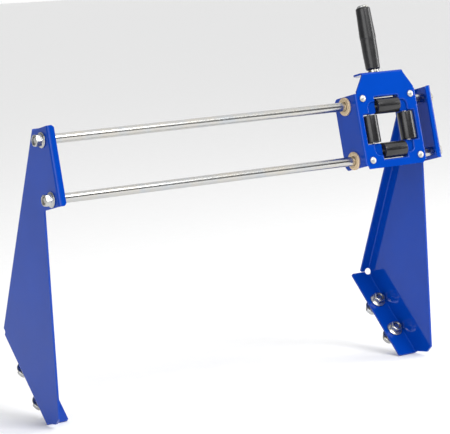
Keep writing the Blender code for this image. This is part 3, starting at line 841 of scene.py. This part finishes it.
def build_flange_nut(node, origin, outward, flange_r, across, height, rim):
    """A flange nut that stands on its origin.

    Its radius at any angle and height is the larger of the flange's skirt and
    the smaller of the hexagon and the chamfer's cone.
    """
    sizes, _, _ = settings()
    hex_radius = hexagon(across)
    corner = across / math.sqrt(3)
    bore = sizes.thread_radius + FIT_GAP
    body = np.linspace(rim * 0.2, height, 44)
    skirt_top = rim + 0.0014
    rows = [(bore + 0.0008, 0.0), (flange_r - 0.0004, 0.0)]
    rows += [(0.0, h) for h in body]
    top_row = len(rows)
    inner = np.linspace(height - 0.0001, 0.0002, 40)
    rows += [(bore + 0.0010, height)]
    rows += [(bore, h) for h in inner]

    def shape(angle, h, radius):
        edge = flange_r - 0.0004 * np.clip(np.abs(h - rim / 2) / (rim / 2), 0, 1) ** 2
        slope = np.clip((h - rim) / (skirt_top - rim), 0, None)
        skirt = np.where(h <= rim, edge, flange_r - 0.0004 - (flange_r - 0.0004 - across / 2) * slope ** 0.7)
        cone = corner - np.clip(h - (height - 0.0013), 0, None) * 1.5
        prism = np.minimum(np.minimum(hex_radius(angle), corner * 0.985), cone)
        outside = np.where(h < rim, edge, np.maximum(skirt, prism))
        groove = thread(h, angle, sizes.thread_pitch, sizes.thread_depth * 0.8)
        index = np.arange(len(h))[:, None]
        inside_row = index > top_row
        made = np.where((index >= 2) & (index < top_row), outside, radius)
        return np.where(inside_row, radius + 0.0001 + groove * 0.6, made)

    points, faces = turned(rows, sizes.sides, origin, outward, shape, ring=True)
    return add_piece(node, points, faces, part_zinc(), 34.0)


ROD_NUT = dict(flange_r=0.0102, across=0.0145, height=0.0112, rim=0.0016)
FOOT_NUT = dict(flange_r=0.0115, across=0.0160, height=0.0100, rim=0.0018)


def foot_bolt_axes(side, sheet):
    """The two bolt axes of a foot: a point on the flange's inside face, and the way out through the foot."""
    slope = direction((0.0, FOOT_SLOPE, 1.0))
    out = np.array((0.0, slope[2], -slope[1]))
    heel = np.array((side * HALF_SPAN, FOOT_AT, 0.0))
    spots = {}
    for label, offset in (("rear", 0.5), ("front", -0.5)):
        along = FOOT_BOLT_MIDDLE + offset * FOOT_BOLT_PITCH
        spots[label] = heel + slope * along - out * sheet - ACROSS * side * FOOT_BOLT_X
    return spots, out


def build_foot_bolt(node, origin, out):
    """A flange bolt from under the foot: threaded shank, washer face, chamfered head with a dished top."""
    sizes, _, _ = settings()
    start, end, tip = BOLT_HEAD_START, BOLT_HEAD_END, BOLT_TIP
    across = 0.0170
    hex_radius = hexagon(across)
    corner = across / math.sqrt(3)
    flange_r = 0.0118
    shank = np.linspace(tip + 0.0010, start - 0.0012, 110)
    head = np.linspace(start, end, 44)
    rows = [(0.0, tip), (sizes.thread_radius - 0.0012, tip)]
    rows += [(sizes.thread_radius, h) for h in shank]
    rows += [(sizes.thread_radius, start - 0.0004), (flange_r - 0.0005, start)]
    first_head = len(rows)
    rows += [(1.0, h) for h in head]
    last_head = len(rows)
    rows += [(across / 2 - 0.0012, end), (across / 2 - 0.0022, end - 0.0006), (0.0, end - 0.0009)]

    def shape(angle, h, radius):
        rise = h - start
        edge = flange_r - 0.0005 * np.clip(np.abs(rise - 0.0009) / 0.0009, 0, 1) ** 2
        slope = np.clip((rise - 0.0018) / 0.0022, 0, None)
        skirt = np.where(rise <= 0.0018, edge, flange_r - 0.0005 - (flange_r - 0.0005 - across / 2) * slope ** 0.7)
        cone = corner - np.clip(h - (end - 0.0014), 0, None) * 1.4
        prism = np.minimum(np.minimum(hex_radius(angle), corner * 0.985), cone)
        outside = np.maximum(skirt, prism)
        index = np.arange(len(h))[:, None]
        on_head = (index >= first_head) & (index < last_head)
        on_shank = (index >= 2) & (index < 2 + len(shank))
        groove = thread(h, angle, sizes.thread_pitch, sizes.thread_depth)
        return np.where(on_head, outside, np.where(on_shank, radius - groove, radius))

    points, faces = turned(rows, sizes.sides, origin, out, shape)
    return add_piece(node, points, faces, part_zinc(), 34.0)


def build_bushing(node, side, drop):
    """A flanged sleeve bushing, its flange outside the side plate."""
    sizes, _, _ = settings()
    face = CAR_HALF + FIT_GAP
    flange_r, body_r, bore_r = 0.0127, 0.0095, 0.00665
    outer, inner = face + 0.0030, face - 0.0150
    profile = soft_profile([(bore_r, outer), (flange_r, outer), (flange_r, face), (body_r, face), (body_r, inner),
                            (bore_r, inner)], (0.0006, 0.0007, 0.0003, 0.0001, 0.0005, 0.0004), ring=True)
    origin = rod_point(0, 0, -drop)
    points, faces = turned(profile, sizes.sides, origin, side * ACROSS, ring=True)
    return add_piece(node, points, faces, sintered_bronze())


def build_roller(label, across, up, axis):
    """A moulded roller with rounded rims and recessed ends, and the pin that it turns on."""
    sizes, _, _ = settings()
    half = ROLLER_LENGTH / 2
    bore = AXLE_R + 0.0003
    dish = 0.0008
    profile = soft_profile([
        (bore, half - dish), (ROLLER_R - 0.0032, half - dish), (ROLLER_R - 0.0026, half), (ROLLER_R, half),
        (ROLLER_R, -half), (ROLLER_R - 0.0026, -half), (ROLLER_R - 0.0032, dish - half), (bore, dish - half),
    ], (0.0002, 0.0002, 0.0004, 0.0009, 0.0009, 0.0004, 0.0002, 0.0002), ring=True)
    origin = rod_point(across, ROLLER_Y, up)
    points, faces = turned(profile, sizes.sides, origin, axis, ring=True)
    add_piece(f"{label}_roller", points, faces, moulded_black("roller black", (0.17, 0.30)))
    end = AXLE_LENGTH / 2
    pin = soft_profile([(0.0, end), (AXLE_R, end), (AXLE_R, -end), (0.0, -end)], 0.0004)
    points, faces = turned(pin, 36, origin, axis)
    add_piece(f"{label}_roller_axle", points, faces, part_zinc())


def build_rivet(node, across, up):
    """A round-head rivet. The head is a cap of a sphere on a short straight rim, the tail an upset button."""
    head_r, head_h = 0.0049, 0.0026
    rim = 0.0005
    seat = -CAR_FRONT + FIT_GAP
    turn = np.linspace(0, math.pi / 2, 14)
    cap = np.c_[head_r * np.sin(turn), seat + rim + (head_h - rim) * np.cos(turn)]
    tail = -FRAME_REAR
    shank = [(head_r - 0.0002, seat), (RIVET_R, seat), (RIVET_R, tail - FIT_GAP), (0.0040, tail - FIT_GAP),
             (0.0036, tail - FIT_GAP - 0.0016), (0.0, tail - FIT_GAP - 0.0016)]
    profile = np.vstack([cap, shank])
    points, faces = turned(profile, 48, rod_point(across, 0, up), -BACK)
    return add_piece(node, points, faces, rivet_zinc(), 45.0)


def build_handle_pieces():
    """The turning grip with its stud, collar and nut, on the top tab."""
    sizes, _, _ = settings()
    base = rod_point(0, HANDLE_Y, NECK_TOP_Z + FIT_GAP)
    foot, length = 0.0048, 0.0880
    top, ring = foot + length, foot + 0.5 * length
    swell = soft_profile([
        (0.00515, top - 0.0002), (0.0090, top), (0.0101, top - 0.0020), (0.0106, top - 0.0190),
        (0.0114, ring + 0.0020), (0.0114, ring), (0.0110, ring - 0.0004), (0.0109, foot + 0.0240),
        (0.0101, foot + 0.0018), (0.0092, foot), (0.00515, foot),
    ], (0.0003, 0.0009, 0.0020, 0.0300, 0.0006, 0.0003, 0.0002, 0.0300, 0.0012, 0.0008, 0.0003), 6, ring=True)
    points, faces = turned(swell, 96, base, UP, ring=True)
    add_piece("handle_grip", points, faces, moulded_black("grip black", (0.24, 0.38)), 40.0)
    collar = soft_profile([
        (0.00515, foot - FIT_GAP), (0.0076, foot - FIT_GAP), (0.0076, 0.0026), (0.0082, 0.0022), (0.0082, 0.0),
        (0.00515, 0.0),
    ], (0.0002, 0.0004, 0.0002, 0.0004, 0.0004, 0.0002), ring=True)
    points, faces = turned(collar, sizes.sides, base, UP, ring=True)
    add_piece("handle_collar", points, faces, part_zinc())
    seat = top + FIT_GAP
    turn = np.linspace(0, math.pi / 2, 12)
    dome = np.c_[DOME_R * np.sin(turn), seat + 0.0008 + 0.0028 * np.cos(turn)]
    below = -sizes.sheet - 0.0125
    threaded = np.linspace(-sizes.sheet - 0.0004, below + 0.0010, 84)
    rows = [*dome.tolist(), (DOME_R - 0.0002, seat), (sizes.thread_radius, seat), (sizes.thread_radius, 0.0)]
    first = len(rows)
    rows += [(sizes.thread_radius, h) for h in threaded]
    last = len(rows)
    rows += [(sizes.thread_radius - 0.0012, below), (0.0, below)]

    def cut(angle, h, radius):
        index = np.arange(len(h))[:, None]
        groove = thread(h, angle, sizes.thread_pitch, sizes.thread_depth)
        return np.where((index >= first) & (index < last), radius - groove, radius)

    points, faces = turned(rows, sizes.sides, base, UP, cut)
    add_piece("handle_stud", points, faces, part_zinc(), 40.0)
    under = rod_point(0, HANDLE_Y, NECK_TOP_Z - sizes.sheet - FIT_GAP)
    build_flange_nut("handle_nut", under, -UP, **ROD_NUT)


# Stage


def build_floor():
    """A round floor: rings of points at the square root of equal steps of area."""
    sweep = np.linspace(0, 2 * math.pi, 97)[:-1]
    rings = 40.0 * np.sqrt(np.linspace(0, 1, 12)[1:])
    points = np.stack([np.outer(rings, np.cos(sweep)), np.outer(rings, np.sin(sweep)),
                       np.full((len(rings), len(sweep)), CAD_BOX[0][2] - 0.0005)], axis=-1).reshape(-1, 3)
    count = len(sweep)
    i = np.arange(len(rings) - 1)[:, None]
    j = np.arange(count)[None, :]
    beside = (j + 1) % count
    faces = np.stack([i * count + j, (i + 1) * count + j, (i + 1) * count + beside, i * count + beside], axis=-1)
    mesh = bpy.data.meshes.new("studio_floor")
    mesh.from_pydata(points.tolist(), [], [*faces.reshape(-1, 4).tolist(), list(range(count))])
    mesh.materials.append(studio_floor())
    floor = bpy.data.objects.new("studio_floor", mesh)
    bpy.context.scene.collection.objects.link(floor)
    return floor


def add_softbox(name, place, target, size, power):
    """A rectangular area light aimed at a target."""
    light = bpy.data.lights.new(name, "AREA")
    light.shape = "RECTANGLE"
    light.size, light.size_y = size
    light.energy = power
    lamp = bpy.data.objects.new(name, light)
    lamp.location = place
    lamp.rotation_euler = (Vector(target) - Vector(place)).to_track_quat("-Z", "Y").to_euler()
    bpy.context.scene.collection.objects.link(lamp)
    return lamp


def build_world(brightness):
    """White surroundings, brighter above and dimmer on the left, with two patches in front.

    The dark one is where front faces look, so that their colour stays deep. The
    bright one, on the left, lights up bends and rims.
    """
    world = bpy.data.worlds.new("studio_white")
    world.use_nodes = True
    bpy.context.scene.world = world
    tree = world.node_tree
    background = tree.nodes["Background"]
    place = add_node(tree, "ShaderNodeTexCoord")
    parts = add_node(tree, "ShaderNodeSeparateXYZ", {"Vector": place.outputs["Generated"]})
    dark, bright = (
        add_node(tree, "ShaderNodeVectorMath", {0: place.outputs["Generated"], 1: toward},
                 operation="DOT_PRODUCT").outputs["Value"]
        for toward in (DARK_TOWARD, BRIGHT_TOWARD)
    )
    level = spread(tree, dark, brightness, 0.07 * brightness, 0.80, 0.95)
    for axis, low, high, start, end in WORLD_RAMPS:
        share = spread(tree, parts.outputs[axis], low, high, start, end)
        level = add_node(tree, "ShaderNodeMath", {0: level, 1: share}, operation="MULTIPLY").outputs[0]
    patch = spread(tree, bright, 0.0, 3.6 * brightness, 0.90, 0.95)
    level = add_node(tree, "ShaderNodeMath", {0: level, 1: patch}, operation="ADD").outputs[0]
    path = add_node(tree, "ShaderNodeLightPath")
    seen = add_node(tree, "ShaderNodeMix", data_type="FLOAT")
    tree.links.new(path.outputs["Is Camera Ray"], seen.inputs[0])
    tree.links.new(level, seen.inputs[2])
    seen.inputs[3].default_value = 1.0
    tree.links.new(seen.outputs[0], background.inputs["Strength"])
    background.inputs["Color"].default_value = (1.0, 1.0, 1.0, 1.0)


def build_camera(stage):
    camera = bpy.data.objects.new("camera", bpy.data.cameras.new("camera"))
    camera.data.lens = stage.lens
    camera.data.sensor_width = 36.0
    camera.data.clip_end = 100.0
    turn = (Matrix.Rotation(-stage.heading, 4, "Z") @ Matrix.Rotation(math.pi / 2 - stage.dip, 4, "X")
            @ Matrix.Rotation(-stage.roll, 4, "Z"))
    camera.matrix_world = Matrix.Translation(CAMERA_PLACE) @ turn
    bpy.context.scene.collection.objects.link(camera)
    bpy.context.scene.camera = camera
    return camera


# Operators


class HOSEGUIDE_OT_brackets(bpy.types.Operator):
    """Build the two bent-sheet brackets"""

    bl_idname = "hoseguide.brackets"
    bl_label = "Brackets"

    def execute(self, context):
        build_bracket("left_bracket", -1)
        build_bracket("right_bracket", 1)
        return {"FINISHED"}


class HOSEGUIDE_OT_rods(bpy.types.Operator):
    """Build the guide rods and their flange nuts"""

    bl_idname = "hoseguide.rods"
    bl_label = "Rods and Nuts"

    def execute(self, context):
        for label, drop in (("upper", 0.0), ("lower", ROD_PITCH)):
            build_rod(f"{label}_rod", drop)
            for hand, side in (("left", -1), ("right", 1)):
                origin = UPPER_ROD - drop * UP + side * (HALF_SPAN + FIT_GAP) * ACROSS
                build_flange_nut(f"{label}_{hand}_nut", origin, side * ACROSS, **ROD_NUT)
        return {"FINISHED"}


class HOSEGUIDE_OT_foot_hardware(bpy.types.Operator):
    """Build the bolts and nuts of both feet"""

    bl_idname = "hoseguide.foot_hardware"
    bl_label = "Foot Bolts and Nuts"

    def execute(self, context):
        sizes, _, _ = settings()
        for hand, side in (("left", -1), ("right", 1)):
            spots, out = foot_bolt_axes(side, sizes.sheet)
            for label, spot in spots.items():
                build_foot_bolt(f"{hand}_foot_bolt_{label}", spot, out)
                build_flange_nut(f"{hand}_foot_nut_{label}", spot - FIT_GAP * out, -out, **FOOT_NUT)
        return {"FINISHED"}


class HOSEGUIDE_OT_carriage(bpy.types.Operator):
    """Build the carriage's bent sheet and the roller frame behind its front"""

    bl_idname = "hoseguide.carriage"
    bl_label = "Carriage"

    def execute(self, context):
        build_carriage_sheet()
        build_roller_frame()
        return {"FINISHED"}


class HOSEGUIDE_OT_bushings(bpy.types.Operator):
    """Build the four flanged bushings"""

    bl_idname = "hoseguide.bushings"
    bl_label = "Bushings"

    def execute(self, context):
        for label, drop in (("upper", 0.0), ("lower", ROD_PITCH)):
            for hand, side in (("left", -1), ("right", 1)):
                build_bushing(f"{label}_{hand}_bushing", side, drop)
        return {"FINISHED"}


class HOSEGUIDE_OT_rollers(bpy.types.Operator):
    """Build the four rollers and their pins"""

    bl_idname = "hoseguide.rollers"
    bl_label = "Rollers"

    def execute(self, context):
        build_roller("top", 0.0, WINDOW_Z + ROLLER_OFF, ACROSS)
        build_roller("bottom", 0.0, WINDOW_Z - ROLLER_OFF, ACROSS)
        build_roller("left", -ROLLER_OFF, WINDOW_Z, UP)
        build_roller("right", ROLLER_OFF, WINDOW_Z, UP)
        return {"FINISHED"}


class HOSEGUIDE_OT_rivets(bpy.types.Operator):
    """Build the rivets that hold the roller frame"""

    bl_idname = "hoseguide.rivets"
    bl_label = "Rivets"

    def execute(self, context):
        labels = ("top_left", "top_right", "bottom_left", "bottom_right")
        for label, (across, up) in zip(labels, rivet_spots()):
            build_rivet(f"rivet_{label}", across, up)
        return {"FINISHED"}


class HOSEGUIDE_OT_handle(bpy.types.Operator):
    """Build the turning grip, its stud, collar and nut"""

    bl_idname = "hoseguide.handle"
    bl_label = "Handle"

    def execute(self, context):
        build_handle_pieces()
        return {"FINISHED"}


class HOSEGUIDE_OT_stage(bpy.types.Operator):
    """Build the floor, the studio light and the camera"""

    bl_idname = "hoseguide.stage"
    bl_label = "Stage"

    def execute(self, context):
        _, _, stage = settings()
        build_floor()
        build_world(stage.dome)
        target = (0.0, 0.05, 0.25)
        add_softbox("key_light", (0.5, -2.0, 2.2), target, (1.6, 1.2), stage.key_power)
        add_softbox("right_strip", (2.5, -0.95, 0.7), target, (0.9, 1.8), 3.6 * stage.side_power)
        build_camera(stage)
        context.scene.view_settings.view_transform = "Standard"
        return {"FINISHED"}


class HOSEGUIDE_PT_panel(bpy.types.Panel):
    """Sidebar panel that lists the steps"""

    bl_idname = "HOSEGUIDE_PT_panel"
    bl_label = "Hose Guide"
    bl_space_type = "VIEW_3D"
    bl_region_type = "UI"
    bl_category = "Hose Guide"

    def draw(self, context):
        for group in settings():
            box = self.layout.box()
            for name in group.bl_rna.properties.keys():
                if name not in ("rna_type", "name"):
                    box.prop(group, name)
        for operator in OPERATORS:
            self.layout.operator(operator.bl_idname)


GROUPS = (
    ("hose_guide_sizes", HoseGuideSizes),
    ("hose_guide_finish", HoseGuideFinish),
    ("hose_guide_stage", HoseGuideStage),
)
OPERATORS = (
    HOSEGUIDE_OT_brackets,
    HOSEGUIDE_OT_rods,
    HOSEGUIDE_OT_foot_hardware,
    HOSEGUIDE_OT_carriage,
    HOSEGUIDE_OT_bushings,
    HOSEGUIDE_OT_rollers,
    HOSEGUIDE_OT_rivets,
    HOSEGUIDE_OT_handle,
    HOSEGUIDE_OT_stage,
)


def register():
    for name, group in GROUPS:
        bpy.utils.register_class(group)
        setattr(bpy.types.Scene, name, PointerProperty(type=group))
    for operator in OPERATORS:
        bpy.utils.register_class(operator)
    bpy.utils.register_class(HOSEGUIDE_PT_panel)


def unregister():
    bpy.utils.unregister_class(HOSEGUIDE_PT_panel)
    for operator in reversed(OPERATORS):
        bpy.utils.unregister_class(operator)
    for name, group in reversed(GROUPS):
        delattr(bpy.types.Scene, name)
        bpy.utils.unregister_class(group)


def main():
    register()
    bpy.ops.hoseguide.brackets()
    bpy.ops.hoseguide.rods()
    bpy.ops.hoseguide.foot_hardware()
    bpy.ops.hoseguide.carriage()
    bpy.ops.hoseguide.bushings()
    bpy.ops.hoseguide.rollers()
    bpy.ops.hoseguide.rivets()
    bpy.ops.hoseguide.handle()
    bpy.ops.hoseguide.stage()


if __name__ == "__main__":
    main()
